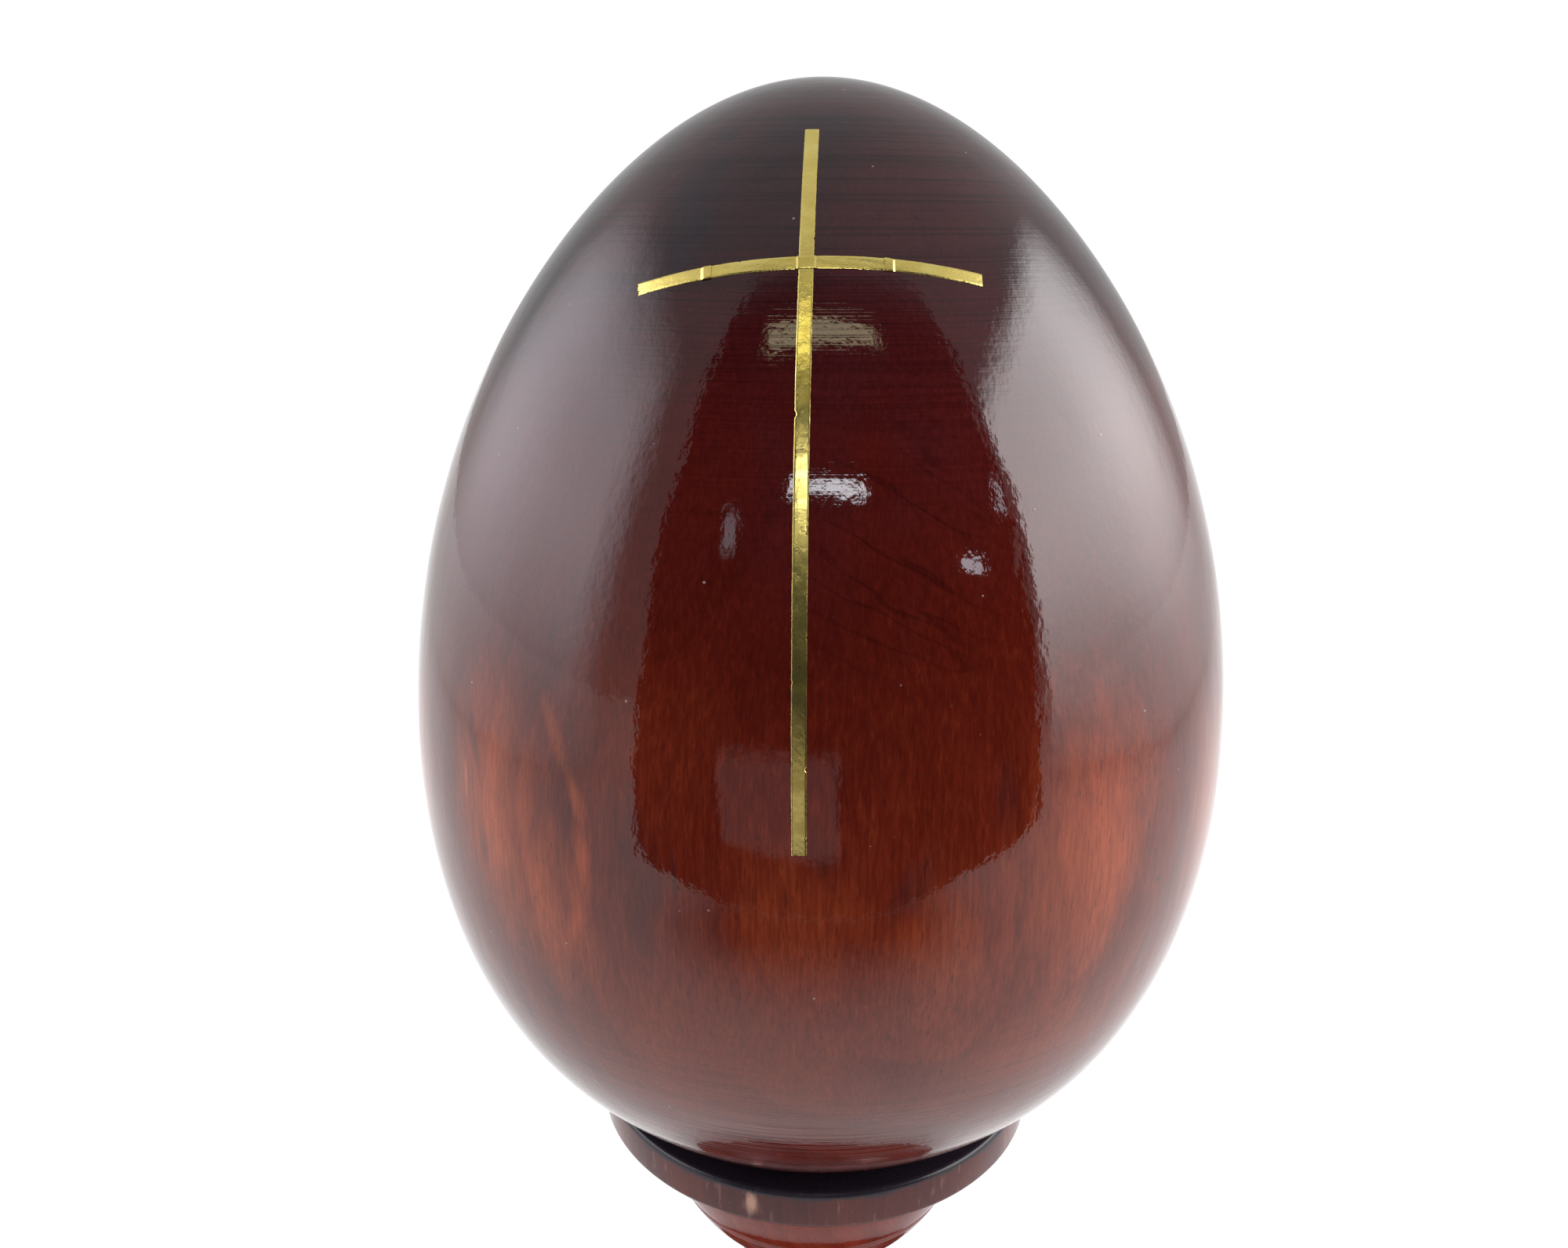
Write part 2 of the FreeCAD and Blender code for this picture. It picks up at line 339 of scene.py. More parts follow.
def laid_patches(tree, place, spots):
    """The strongest of several patches, each (degrees, millimetres up the egg, half width and
    half height in millimetres, lean, softness, raggedness, strength)."""
    total = None
    for turn, up, wide, tall, lean, soft, ragged, strength in spots:
        mask = place_effect(tree, patch, Place=place, Turn=math.radians(turn), Height=egg_base + up / 1000,
                            Wide=wide / 1000, Tall=tall / 1000, Lean=lean, Soft=soft, Ragged=ragged)["Mask"]
        mask = times(tree, mask, strength)
        total = mask if total is None else reckon(tree, "MAXIMUM", total, mask)
    return total


# Warm patches, where the stain took lightly.
warm = laid_patches(tree, place, [
    (-41, 72, 12, 26, 0.05, 0.95, 0.35, 1.0), (-33, 62, 9, 20, 0.1, 0.95, 0.4, 0.75),
    (33, 70, 15, 27, -0.1, 0.9, 0.5, 0.95), (-2, 64, 13, 19, 0.0, 0.95, 0.6, 0.3),
    (14, 60, 10, 16, 0.0, 0.95, 0.6, 0.4), (62, 66, 13, 22, 0.0, 0.95, 0.5, 0.7),
    (90, 62, 18, 28, 0.1, 1.0, 0.5, 0.65), (-68, 68, 12, 24, 0.0, 0.95, 0.5, 0.7),
    (-98, 74, 17, 29, 0.1, 1.0, 0.4, 0.7), (146, 70, 21, 26, -0.1, 1.0, 0.5, 0.6),
    (-150, 60, 17, 27, 0.1, 1.0, 0.5, 0.55), (176, 52, 22, 20, 0.0, 1.0, 0.5, 0.45),
    (-20, 88, 14, 20, 0.2, 1.0, 0.7, 0.14), (-14, 40, 34, 18, 0.0, 0.95, 0.5, 0.32),
    (30, 42, 26, 16, 0.0, 0.95, 0.5, 0.45)])
warm = times(tree, warm, step(tree, figure["Blotches"], 0.3, 0.6, 0.68, 1.0))
# Wine-dark clouds and blue-black patches towards the point.
wine = step(tree, cloud(tree, place, (34, 34, 22), 3, 0.55, 0.5), 0.42, 0.62)
deep = over(tree, times(tree, wine, step(tree, level, 0.6, 0.85, 0.12, 0.75)), deep,
            (0.042, 0.0075, 0.0095, 1))
navy = laid_patches(tree, place, [
    (-28, 143, 12, 14, 0.2, 0.95, 0.6, 0.7), (-62, 132, 14, 20, 0.2, 0.95, 0.6, 0.6),
    (70, 136, 13, 16, 0.0, 0.95, 0.6, 0.5), (-140, 134, 16, 20, 0.1, 0.95, 0.6, 0.6),
    (150, 132, 14, 18, 0.1, 0.95, 0.6, 0.6)])
deep = over(tree, navy, deep, (0.009, 0.009, 0.016, 1))
colour = over(tree, warm, deep, glow)
# Fine mottle, then growth rings that come and go.
mottle = cloud(tree, place, (1500, 1500, 260), 5, 0.7, 0.3)
above_foot = step(tree, level, 0.12, 0.36, 0.35, 1.0)
colour = over(tree, times(tree, step(tree, mottle, 0.46, 0.78, 0.0, 0.20), above_foot), colour, glow)
colour = over(tree, times(tree, step(tree, mottle, 0.28, 0.48, 0.45, 0.0), above_foot), colour,
              (0.55, 0.45, 0.5, 1), "MULTIPLY")
rings = times(tree, figure["Rings"], step(tree, level, 0.4, 0.75, 0.42, 0.24))
rings = times(tree, rings, step(tree, cloud(tree, place, (38, 38, 17), 3), 0.36, 0.62, 0.2, 1.0))
colour = over(tree, rings, colour, (0.46, 0.34, 0.36, 1), "MULTIPLY")
# Dark flecks and small knots.
dark = laid_patches(tree, place, [
    (-45.5, 80, 1.6, 6, 0.35, 0.9, 1.0, 0.5), (-43.8, 66, 1.3, 5, 0.0, 0.9, 1.0, 0.45),
    (-20, 69, 4.2, 15, 0.1, 0.9, 0.9, 0.35), (-15.5, 70, 0.6, 5, 0.05, 0.8, 0.5, 0.5),
    (10, 69, 3.8, 5.5, -0.25, 0.9, 1.0, 0.45), (20.5, 79, 3.2, 6.0, 0.2, 0.9, 1.1, 0.3),
    (0.5, 74, 3.2, 4.5, 0.3, 0.9, 0.9, 0.35), (45.9, 61.6, 0.5, 0.6, 0.0, 0.6, 0.4, 1.0),
    (66, 66, 2.4, 9, 0.1, 0.9, 1.0, 0.5), (-74, 60, 2.0, 8, 0.1, 0.9, 1.0, 0.5),
    (120, 74, 3.4, 10, 0.15, 0.9, 1.0, 0.5), (-123, 66, 3.0, 9, -0.1, 0.9, 1.0, 0.5),
    (168, 60, 2.6, 8, 0.1, 0.9, 1.0, 0.5)])
colour = over(tree, dark, colour, (0.024, 0.009, 0.011, 1))
# Pale streaks beside them.
sap = laid_patches(tree, place, [
    (-31, 84, 1.6, 6, 0.45, 1.0, 0.5, 0.3), (-28, 77.5, 1.5, 6, 0.35, 1.0, 0.5, 0.45),
    (-26.8, 69.5, 1.6, 7, 0.0, 1.0, 0.5, 0.45), (-29, 60, 1.8, 8, -0.3, 1.0, 0.5, 0.35),
    (-47.4, 74, 0.5, 5, 0.0, 0.9, 0.6, 0.6), (96, 68, 1.1, 10, 0.2, 1.0, 0.5, 0.5),
    (-104, 78, 1.1, 9, -0.2, 1.0, 0.5, 0.5), (140, 66, 1.1, 10, 0.2, 1.0, 0.5, 0.5)])
colour = over(tree, sap, colour, (0.36, 0.070, 0.018, 1))
split = parts_of(tree, place)
# Thin dark veins that slant down to the right.
slanting = add(tree, "ShaderNodeCombineXYZ", {0: reckon(tree, "MULTIPLY_ADD", split[0], 0.55, split[2]),
                                              1: split[0]}).outputs[0]
vein = reckon(tree, "ABSOLUTE", reckon(tree, "SUBTRACT", cloud(tree, slanting, (150, 26, 1), 3, 0.55), 0.5))
vein = times(tree, step(tree, vein, 0.004, 0.022, 1.0, 0.0), laid_patches(tree, place, [
    (9, 106, 18, 19, 0.0, 0.8, 0.4, 0.5), (-104, 112, 16, 16, 0.0, 0.8, 0.4, 0.5),
    (150, 104, 18, 16, 0.0, 0.8, 0.4, 0.5)]))
colour = over(tree, vein, colour, (0.35, 0.30, 0.34, 1), "MULTIPLY")
# Fine level lines that the turning tool left near both ends.
lathe = step(tree, cloud(tree, place, (16, 16, 3600), 2, 0.6), 0.46, 0.62)
near_foot = step(tree, level, 0.12, 0.36, 1.0, 0.0)
near_ends = reckon(tree, "MAXIMUM", step(tree, level, 0.60, 0.92), near_foot)
colour = over(tree, times(tree, lathe, times(tree, near_ends, 0.85)), colour,
              (0.50, 0.42, 0.48, 1), "MULTIPLY")
# Fibres, pores and the specks caught in the lacquer.
fibre_depth = times(tree, step(tree, level, 0.45, 0.75, 0.55, 0.45), above_foot)
streaks = step(tree, figure["Fibres"], 0.38, 0.60)
colour = over(tree, times(tree, streaks, fibre_depth), colour, (0.58, 0.46, 0.44, 1), "MULTIPLY")
pore_depth = times(tree, figure["Pores"], step(tree, level, 0.5, 0.8, 0.5, 0.3))
colour = over(tree, times(tree, pore_depth, above_foot), colour, (0.022, 0.006, 0.005, 1))
surface = place_effect(tree, skin, Place=place, Waves=1.0, Peel=1.0, Dust=1.0)
colour = tinted(tree, surface["Specks"], 0.7, colour, (0.30, 0.20, 0.20))
tree.links.new(colour, shader.inputs["Base Color"])
tree.links.new(reckon(tree, "MULTIPLY_ADD", surface["Specks"], 0.3, 0.035), shader.inputs["Roughness"])
shader.inputs["IOR"].default_value = lacquer_gloss
ridge_height = reckon(tree, "MULTIPLY_ADD", near_foot, 0.055, times(tree, near_ends, 0.018))
ridged = times(tree, lathe, ridge_height)
raise_surface(tree, shader, reckon(tree, "ADD", surface["Height"], ridged), lacquer_depth)
egg.data.materials.append(lacquered)
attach(egg, "egg")
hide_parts("egg_body")

# --- Foil cross ------------------------------------------------------------
# A Latin cross of narrow gold metallised tape, laid on the lacquer by hand: one
# upright, and a bar of three lengths that lap and ride over the upright. The
# cut edges are nicked, and the thin foil is creased and pitted.
tape_half = 0.00085
tape_lift = 0.00011
tape_lap = 0.00013
lap_edge = 0.00035
tape_bed = 0.00012
tape_columns = 15
tape_spacing = 0.00011
fit_reach = (-0.03, 0.045)
fit_halvings = 34
fit_table = 4000
normal_step = 0.001
torn_end = 0.0002
cross_turn = math.radians(2.5)
crossing_drop = 0.0234
upright_ends = (-0.0627, 0.0151)
upright_tilt = math.radians(0.7)
bar_ends = (-0.0199, 0.0201)
bar_tilt = math.radians(2.2)
left_lap = (-0.0118, -0.0109)
right_lap = (0.0088, 0.0097)

crossing_angle = np.array(math.acos(2 * crossing_drop / egg_height - 1))
cross_radius, cross_height = (float(v) for v in egg_outline(crossing_angle))
step_radius, step_height = (float(v) for v in egg_outline(crossing_angle, normal_step))
outward = np.array([-math.sin(cross_turn), -math.cos(cross_turn), 0.0])
sideways = np.array([math.cos(cross_turn), -math.sin(cross_turn), 0.0])
upward = np.array([0.0, 0.0, 1.0])
crossing = outward * cross_radius + upward * cross_height
square = outward * (step_radius - cross_radius) + upward * (step_height - cross_height)
square = square / normal_step
upright_along = upward * math.cos(upright_tilt) - sideways * math.sin(upright_tilt)
bar_along = sideways * math.cos(bar_tilt) + np.cross(square, sideways) * math.sin(bar_tilt)


def ripple(u, rng, low, high, count=14):
    """A wandering line: the mean of `count` sines of u with seeded waves per metre and phases."""
    waves, phase = rng.uniform(low, high, count), rng.uniform(0, 6.283, count)
    return np.sin(2 * np.pi * u[..., None] * waves + phase).sum(-1) / math.sqrt(count)


def tape(name, ends, along, facing, heap, seed, rough_end=0.0):
    """A length of tape pressed on the egg. Point (s, w) is crossing + s along + w across, slid
    along `facing` on to the egg's outline and lifted by the tape, by heap(s) where it lies over
    other tape, and by creases made of seeded sines. w runs between two nicked edges."""
    rng = np.random.default_rng(seed)
    across = np.cross(facing, along)
    count = int((ends[1] - ends[0]) / tape_spacing)
    s = np.linspace(ends[0], ends[1], count)
    width = np.linspace(-1, 1, tape_columns)
    sides = []
    for _ in range(2):
        nick = 0.000010 * ripple(s, rng, 500, 2600) + 0.00001 * ripple(s, rng, 60, 300)
        for spot in rng.uniform(ends[0], ends[1], int(count / 60)):
            deep, broad = 0.00003 + 0.0002 * rng.random() ** 3, rng.uniform(0.00006, 0.0002)
            nick = nick - deep * np.exp(-(((s - spot) / broad) ** 2))
        sides.append(np.minimum(tape_half + nick, tape_half + 0.00003))
    half = np.where(width[None, :] < 0, sides[0][:, None], sides[1][:, None])
    w = half * width[None, :]
    ragged = 0.00007 * ripple(width, rng, 0.5, 3.0) + rough_end * np.abs(ripple(width, rng, 0.4, 1.6))
    near = np.clip((s - ends[0]) / 0.001, 0, 1)[:, None]
    s = s[:, None] + ragged[None, :] * (1 - near)
    start = crossing + s[..., None] * along + w[..., None] * across
    low, high = np.full(s.shape, fit_reach[0]), np.full(s.shape, fit_reach[1])
    table = np.linspace(0, np.pi, fit_table)
    known_r, known_z = egg_outline(table)
    for _ in range(fit_halvings):
        middle = (low + high) / 2
        q = start + middle[..., None] * facing
        within = np.hypot(q[..., 0], q[..., 1]) < np.interp(q[..., 2], known_z, known_r)
        low, high = np.where(within, middle, low), np.where(within, high, middle)
    q = start + low[..., None] * facing
    t = np.interp(q[..., 2], known_z, table)
    r0, z0 = egg_outline(t)
    r1, z1 = egg_outline(t, normal_step)
    spin = q[..., :2] / np.hypot(q[..., 0], q[..., 1])[..., None]
    normal = np.concatenate([spin * (r1 - r0)[..., None], (z1 - z0)[..., None]], -1) / normal_step
    crease = 0.0000035 * ripple(s + 0.35 * w, rng, 200, 700)
    crease = crease + 0.0000016 * ripple(s - 1.1 * w, rng, 700, 2200)
    crease = crease + 0.000003 * ripple(w * 2 + s * 0.25, rng, 200, 600)
    edge = np.clip((1 - np.abs(width)) / 0.16, 0, 1)[None, :] ** 0.5
    lift = (tape_lift + crease) * (0.45 + 0.55 * edge) + heap(s)
    top = q + normal * lift[..., None]
    under = q - normal * tape_bed
    verts = np.vstack([top.reshape(-1, 3), under.reshape(-1, 3)])
    rows, cols = s.shape[0], len(width)
    i, j = np.meshgrid(np.arange(rows - 1), np.arange(cols - 1), indexing="ij")
    a = (i * cols + j).ravel()
    upper = np.stack([a, a + 1, a + cols + 1, a + cols], -1)
    lower = upper[:, ::-1] + rows * cols
    loop = np.concatenate([
        np.arange(cols), np.arange(2, rows + 1) * cols - 1,
        (rows - 1) * cols + np.arange(cols - 2, -1, -1), np.arange(rows - 2, 0, -1) * cols])
    ahead = np.roll(loop, -1)
    wall = np.stack([loop, loop + rows * cols, ahead + rows * cols, ahead], -1)
    if np.dot(np.cross(along, across), facing) > 0:
        upper, lower, wall = upper[:, ::-1], lower[:, ::-1], wall[:, ::-1]
    return solid(name, verts, np.vstack([upper, lower, wall]).tolist(), 1.0)


def hump(s, start, end):
    """One tape's thickness from start to end, with a soft slope of lap_edge on each side."""
    rise = np.clip((s - start + lap_edge) / lap_edge, 0, 1)
    fall = np.clip((end + lap_edge - s) / lap_edge, 0, 1)
    return tape_lap * (rise * rise * (3 - 2 * rise)) * (fall * fall * (3 - 2 * fall))


pieces_of_tape = [
    tape("foil_upright_tape", upright_ends, upright_along, outward, lambda s: 0 * s, 11),
    tape("foil_bar_middle", (left_lap[0], right_lap[1]), bar_along, square,
         lambda s: hump(s, -tape_half, tape_half), 12),
    tape("foil_bar_left_length", (bar_ends[0], left_lap[1]), bar_along, square,
         lambda s: hump(s, left_lap[0], 1.0), 13, torn_end),
    tape("foil_bar_right_length", (right_lap[0], bar_ends[1]), bar_along, square,
         lambda s: hump(s, -1.0, right_lap[1]), 14),
]

gold, tree, shader, place = finish_of("creased_gold_foil")
tarnish = cloud(tree, place, (260, 260, 420), 4, 0.62)
fleck = cloud(tree, place, (2400, 2400, 2400), 3, 0.6)
colour = ramp(tree, tarnish, [
    (0.34, (0.74, 0.58, 0.16)), (0.5, (0.82, 0.66, 0.19)), (0.66, (0.90, 0.74, 0.24))])
pits = step(tree, fleck, 0.70, 0.76)
colour = tinted(tree, pits, 0.8, colour, (0.10, 0.05, 0.01))
tree.links.new(colour, shader.inputs["Base Color"])
shader.inputs["Metallic"].default_value = 1.0
tree.links.new(step(tree, tarnish, 0.3, 0.7, 0.30, 0.20), shader.inputs["Roughness"])
wrinkles = reckon(tree, "MULTIPLY_ADD", fleck, 0.5, cloud(tree, place, (1100, 1100, 700), 3, 0.6, 0.6))
raise_surface(tree, shader, wrinkles, 0.00003, 0.8)
tape_nodes = ["foil_upright", "foil_bar_centre", "foil_bar_left", "foil_bar_right"]
for strip, node in zip(pieces_of_tape, tape_nodes):
    strip.data.materials.append(gold)
    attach(strip, "egg")
    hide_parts(node)

# --- Peg -------------------------------------------------------------------
# A plain birch dowel, left bare. It stands loose in the cup's bore, and the egg
# drops over its upper half, so egg and peg both turn and the egg lifts off.
peg_low, peg_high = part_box("locating_peg")
peg_radius = peg_high.x
peg_chamfer = 0.0008
peg_round = 64
peg_flat = peg_radius - peg_chamfer
peg_outline = rounded([
    (0, peg_low.z), (peg_flat, peg_low.z), (peg_radius, peg_low.z + peg_chamfer),
    (peg_radius, peg_high.z - peg_chamfer), (peg_flat, peg_high.z), (0, peg_high.z)], small_ease)
peg = turned("birch_dowel", peg_outline, peg_round)
birch, tree, shader, place = finish_of("bare_birch")
figure = place_effect(tree, grain, Place=place, Pith=(0.01, 0.02, 0.0), Ring_width=0.0011,
                      Lean=0.02, Wander=0.001)
colour = over(tree, figure["Rings"], (0.56, 0.37, 0.20, 1), (0.42, 0.25, 0.12, 1))
colour = tinted(tree, step(tree, figure["Fibres"], 0.4, 0.62), 0.6, colour, (0.74, 0.66, 0.55), "MULTIPLY")
colour = tinted(tree, figure["Pores"], 0.6, colour, (0.16, 0.08, 0.035))
tree.links.new(colour, shader.inputs["Base Color"])
tree.links.new(step(tree, figure["Fibres"], 0.3, 0.7, 0.62, 0.48), shader.inputs["Roughness"])
raise_surface(tree, shader, figure["Fibres"], 0.00006, 0.6)
peg.data.materials.append(birch)
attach(peg, "peg")
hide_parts("locating_peg")

# --- Cup -------------------------------------------------------------------
# The stand's cup is one turning: a flat-faced rim ring over a ball-shaped bowl,
# dished on top for the egg. It is stained red-brown and lacquered, and the rim's
# top is brushed black, with the paint running a little over the edge.
cup_low, cup_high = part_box("stand_cup")
rim_radius = cup_high.x
rim_top = cup_high.z
bowl_foot = cup_low.z
rim_face = 0.0062
bowl_radius = 0.0266
bowl_drop = 0.0047
bowl_middle = rim_top - rim_face - bowl_drop
groove_angle = math.radians(24)
groove_depth = 0.00035
groove_spread = 0.019
rim_ease = 0.00085
mortise_ease = 0.0002
stand_round = 256
cup_gloss = 1.40
seat_gap = 0.0003
tenon_radius = 0.0065
tenon_length = 0.009
peg_floor = 0.003

dish_r, dish_z = egg_outline(np.linspace(0.02, 1.2, 90), seat_gap)
inside = (dish_r > peg_bore * 1.1) & (dish_z < rim_top)
dish_z_at_bore = float(np.interp(peg_bore, dish_r, dish_z))
rim_at_dish = float(np.interp(rim_top, dish_z, dish_r))
foot_angle = math.acos((bowl_middle - bowl_foot) / bowl_radius)
neck_angle = math.acos(bowl_drop / bowl_radius)
turns = np.linspace(foot_angle, math.pi - neck_angle, 120)
groove = groove_depth * np.exp(-(((turns - (math.pi / 2 - groove_angle)) / groove_spread) ** 2))
out_to = bowl_radius - groove
bowl = np.column_stack([out_to * np.sin(turns), bowl_middle - out_to * np.cos(turns)])
dish = np.column_stack([dish_r[inside], dish_z[inside]])
mortise_top = bowl_foot + tenon_length
floor_of_bore = mortise_top + peg_floor
rim_foot = rim_top - rim_face
cup_profile = np.vstack([
    rounded([(0, mortise_top), (tenon_radius, mortise_top), (tenon_radius, bowl_foot), bowl[0]],
            mortise_ease)[:-1],
    bowl[:-1],
    rounded([bowl[-2], bowl[-1], (rim_radius, rim_foot), (rim_radius, rim_top), (rim_at_dish, rim_top),
             dish[-1]], rim_ease, 7)[1:-1],
    dish[::-1],
    rounded([dish[0], (peg_bore, dish_z_at_bore), (peg_bore, floor_of_bore), (0, floor_of_bore)],
            small_ease)[1:],
])


def lathe_marks(turn, level):
    """A turning that is not quite true: two slow lobes round it, a hundredth of a millimetre."""
    return 0.00001 * (np.sin(2 * turn + 0.7) + 0.6 * np.sin(3 * turn + level * 300))


cup = turned("stand_cup_turning", cup_profile, stand_round, lathe_marks)
stained, tree, shader, place = finish_of("stained_cup_wood")
figure = place_effect(tree, grain, Place=place, Pith=(-0.05, 0.06, 0.0), Ring_width=0.0024,
                      Lean=0.05, Wander=0.006)
split = parts_of(tree, place)
from_axis = how_far(tree, split[0], split[1])
colour = over(tree, step(tree, figure["Blotches"], 0.35, 0.65),
              (0.120, 0.014, 0.009, 1), (0.185, 0.024, 0.012, 1))
colour = tinted(tree, figure["Rings"], 0.3, colour, (0.55, 0.46, 0.48), "MULTIPLY")
colour = tinted(tree, step(tree, figure["Fibres"], 0.4, 0.62), 0.4, colour, (0.6, 0.5, 0.5), "MULTIPLY")
colour = tinted(tree, figure["Pores"], 0.4, colour, (0.03, 0.010, 0.009))
scuff = step(tree, cloud(tree, place, (700, 700, 130), 4, 0.7), 0.56, 0.68)
on_rim = step(tree, split[2], rim_foot - 0.0006, rim_foot + 0.0004)
colour = tinted(tree, on_rim, 0.9, colour, (0.42, 0.55, 0.80), "MULTIPLY")
colour = tinted(tree, times(tree, scuff, on_rim), 0.35, colour, (0.20, 0.11, 0.10))
bare = place_effect(tree, patch, Place=place, Turn=math.radians(-14.5), Height=rim_top - 0.0028,
                    Wide=0.0014, Tall=0.0027, Lean=0.05, Soft=0.9, Ragged=1.0, Reach=rim_radius)["Mask"]
colour = tinted(tree, bare, 0.85, colour, (0.42, 0.24, 0.17))
bleed = reckon(tree, "SUBTRACT", cloud(tree, place, (240, 240, 240), 3, 0.6), 0.5)
paint_edge = reckon(tree, "MULTIPLY_ADD", bleed, 0.0022, split[2])
painted = step(tree, paint_edge, rim_top - 0.0015, rim_top - 0.0006)
worn = step(tree, cloud(tree, place, (900, 900, 900), 3, 0.7), 0.66, 0.74)
painted = times(tree, painted, reckon(tree, "MULTIPLY_ADD", worn, -0.6, 1.0))
in_dish = step(tree, from_axis, rim_at_dish - 0.006, rim_at_dish - 0.001)
painted = times(tree, painted, in_dish)
colour = over(tree, painted, colour, (0.014, 0.011, 0.017, 1))
# A thin pale line along the foot of the rim's face, where it rounds into the bowl, is a painted highlight
# of that edge.
edge_highlight_paint = times(tree, step(tree, split[2], rim_foot - 0.0001, rim_foot + 0.0001),
             step(tree, split[2], rim_foot + 0.0002, rim_foot + 0.0005, 1.0, 0.0))
colour = tinted(tree, edge_highlight_paint, 0.5, colour, (0.22, 0.16, 0.17))
surface = place_effect(tree, skin, Place=place, Waves=0.8, Peel=1.2, Dust=1.0)
colour = tinted(tree, surface["Specks"], 0.5, colour, (0.25, 0.18, 0.17))
tree.links.new(colour, shader.inputs["Base Color"])
tree.links.new(reckon(tree, "MULTIPLY_ADD", scuff, 0.12, reckon(tree, "MULTIPLY_ADD", painted, 0.18, 0.08)),
               shader.inputs["Roughness"])
shader.inputs["IOR"].default_value = cup_gloss
raise_surface(tree, shader, surface["Height"], lacquer_depth)
cup.data.materials.append(stained)
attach(cup, "stand")
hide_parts("stand_cup")

# --- Stem ------------------------------------------------------------------
# The stem is turned with a collar that meets the bowl and a slim waist, and is
# glued by a round tenon at each end. It is painted blue-black over the wood.
stem_low, stem_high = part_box("stand_stem")
stem_foot = stem_low.z + tenon_length
stem_top = stem_high.z - tenon_length
collar_radius = 0.0143
collar_height = 0.0035
collar_ease = 0.0004
waist_radius = 0.0094
stem_round = 160
foot_neck = 0.014
collar_low = stem_top - collar_height


def curve_through(a, b, c, count):
    """Points of the circle through three outline points, from a to c past b."""
    (ax, ay), (bx, by), (cx, cy) = a, b, c
    d = 2 * (ax * (by - cy) + bx * (cy - ay) + cx * (ay - by))
    ux = ((ax**2 + ay**2) * (by - cy) + (bx**2 + by**2) * (cy - ay) + (cx**2 + cy**2) * (ay - by)) / d
    uy = ((ax**2 + ay**2) * (cx - bx) + (bx**2 + by**2) * (ax - cx) + (cx**2 + cy**2) * (bx - ax)) / d
    size = math.hypot(ax - ux, ay - uy)
    angle = np.unwrap([math.atan2(y - uy, x - ux) for x, y in (a, b, c)])
    sweep = np.interp(np.linspace(0, 2, count), [0, 1, 2], angle)
    return np.column_stack([ux + size * np.cos(sweep), uy + size * np.sin(sweep)])


waist = curve_through((foot_neck, stem_foot), (waist_radius, (stem_foot + collar_low) / 2),
                      (collar_radius, collar_low), 60)
stem_profile = np.vstack([
    rounded([(0, stem_low.z), (tenon_radius, stem_low.z), (tenon_radius, stem_foot), waist[0], waist[1]],
            small_ease)[:-1],
    waist[1:-1],
    rounded([waist[-2], waist[-1], (collar_radius, stem_top), (tenon_radius, stem_top),
             (tenon_radius, stem_high.z), (0, stem_high.z)], collar_ease)[1:],
])
stem = turned("stand_stem_turning", stem_profile, stem_round, lathe_marks)
black, tree, shader, place = finish_of("blue_black_stem_paint")
figure = place_effect(tree, grain, Place=place, Pith=(0.03, 0.03, 0.0), Ring_width=0.002,
                      Lean=0.03, Wander=0.004)
colour = over(tree, step(tree, figure["Blotches"], 0.3, 0.7),
              (0.012, 0.011, 0.017, 1), (0.030, 0.027, 0.036, 1))
colour = tinted(tree, step(tree, figure["Fibres"], 0.5, 0.66), 0.5, colour, (0.055, 0.040, 0.045))
worn = step(tree, cloud(tree, place, (500, 500, 260), 4, 0.7), 0.64, 0.74)
colour = tinted(tree, worn, 0.6, colour, (0.10, 0.040, 0.030))
tree.links.new(colour, shader.inputs["Base Color"])
tree.links.new(step(tree, figure["Blotches"], 0.3, 0.7, 0.22, 0.36), shader.inputs["Roughness"])
surface = place_effect(tree, skin, Place=place, Waves=0.6, Peel=1.6, Dust=1.0)
height = reckon(tree, "MULTIPLY_ADD", figure["Fibres"], 0.2, surface["Height"])
raise_surface(tree, shader, height, lacquer_depth)
stem.data.materials.append(black)
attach(stem, "stand")
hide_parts("stand_stem")

# --- Foot ------------------------------------------------------------------
# The foot is a broad turned disc: a bead under the stem, a hollow sweep and a
# plain rounded edge, stained and lacquered like the cup. The stem is glued into it.
foot_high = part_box("stand_foot")[1]
foot_radius = foot_high.x
foot_top = foot_high.z
foot_edge_height = 0.005
foot_ease = 0.0009
bead = 0.0022
bead_foot = foot_top - 2 * bead
shoulder = (foot_radius - foot_ease, foot_edge_height)
sweep_top = (foot_neck + bead / 2, bead_foot)
sweep_hollow = 0.4
sweep_middle = (sweep_top[0] + (shoulder[0] - sweep_top[0]) * sweep_hollow,
                shoulder[1] + (sweep_top[1] - shoulder[1]) * sweep_hollow)
sweep = curve_through(shoulder, sweep_middle, sweep_top, 50)
bead_turn = np.linspace(-math.pi / 2, math.pi / 2, 24)
foot_bead = np.column_stack([foot_neck + bead * np.cos(bead_turn),
                             foot_top - bead + bead * np.sin(bead_turn)])
foot_profile = np.vstack([
    rounded([(0, 0), (foot_radius, 0), (foot_radius, foot_edge_height), sweep[0], sweep[2]],
            foot_ease, 6)[:-1],
    sweep[2:],
    foot_bead,
    rounded([foot_bead[-1], (tenon_radius, foot_top), (tenon_radius, foot_top - tenon_length),
             (0, foot_top - tenon_length)], small_ease)[1:],
])
foot = turned("stand_foot_turning", foot_profile, stand_round, lathe_marks)
foot_wood, tree, shader, place = finish_of("stained_foot_wood")
figure = place_effect(tree, grain, Place=place, Pith=(0.06, -0.05, 0.0), Ring_width=0.0036,
                      Lean=0.4, Wander=0.016)
split = parts_of(tree, place)
colour = over(tree, step(tree, figure["Blotches"], 0.35, 0.65),
              (0.080, 0.014, 0.010, 1), (0.160, 0.030, 0.016, 1))
colour = tinted(tree, figure["Rings"], 0.3, colour, (0.42, 0.34, 0.36), "MULTIPLY")
